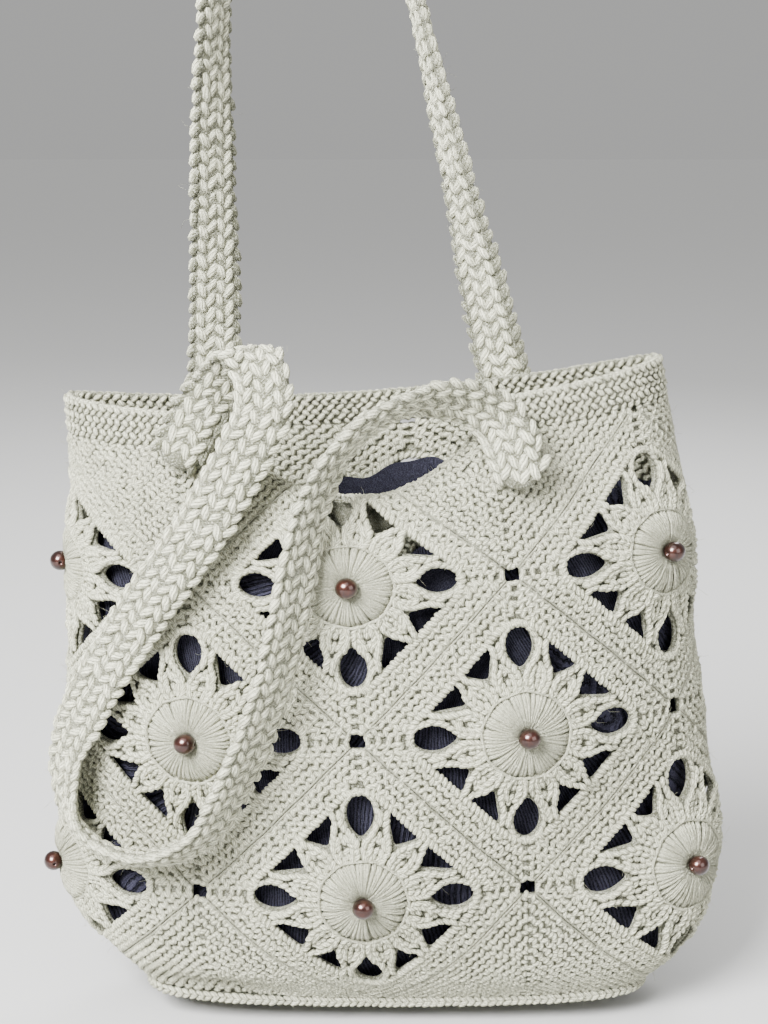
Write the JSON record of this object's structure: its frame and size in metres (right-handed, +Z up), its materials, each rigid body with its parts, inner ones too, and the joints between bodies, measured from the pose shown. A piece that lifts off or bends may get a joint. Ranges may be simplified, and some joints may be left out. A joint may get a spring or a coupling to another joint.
{
  "type": "crochet bag",
  "caption": "Soft crochet shoulder bag of openwork squares set on point, each with a bead in its middle, with a ribbed rim, rectangular base and two flat straps; it hangs, its mouth rolled in.",
  "frame": {"origin": "under the inside of the top of the back strap's loop, where the bag hangs", "axes": "+X to the bag's right as its front is looked at, -Y to the front, +Z up; the bag hangs down along -Z"},
  "size_m": [0.2926, 0.122, 0.5199],
  "materials": {
    "yarn": "matt heathered grey-sage yarn, slightly fuzzy",
    "bead": "pearly copper brown",
    "lining": "dark navy thread with a dull sheen"
  },
  "bodies": {
    "root": {"square_top_front": "yarn", "square_top_right": "yarn", "square_top_back": "yarn", "square_top_left": "yarn", "square_middle_front_right": "yarn", "square_middle_back_right": "yarn", "square_middle_back_left": "yarn", "square_middle_front_left": "yarn", "square_bottom_front": "yarn", "square_bottom_right": "yarn", "square_bottom_back": "yarn", "square_bottom_left": "yarn", "triangle_top_front_right": "yarn", "triangle_top_back_right": "yarn", "triangle_top_back_left": "yarn", "triangle_top_front_left": "yarn", "triangle_bottom_front_right": "yarn", "triangle_bottom_back_right": "yarn", "triangle_bottom_back_left": "yarn", "triangle_bottom_front_left": "yarn", "rim_band": "yarn", "base_panel": "yarn", "handle_front": "yarn", "handle_back": "yarn", "bead_top_front": "bead", "bead_top_right": "bead", "bead_top_back": "bead", "bead_top_left": "bead", "bead_middle_front_right": "bead", "bead_middle_back_right": "bead", "bead_middle_back_left": "bead", "bead_middle_front_left": "bead", "bead_bottom_front": "bead", "bead_bottom_right": "bead", "bead_bottom_back": "bead", "bead_bottom_left": "bead", "lining": "lining"}
  },
  "joints": []
}
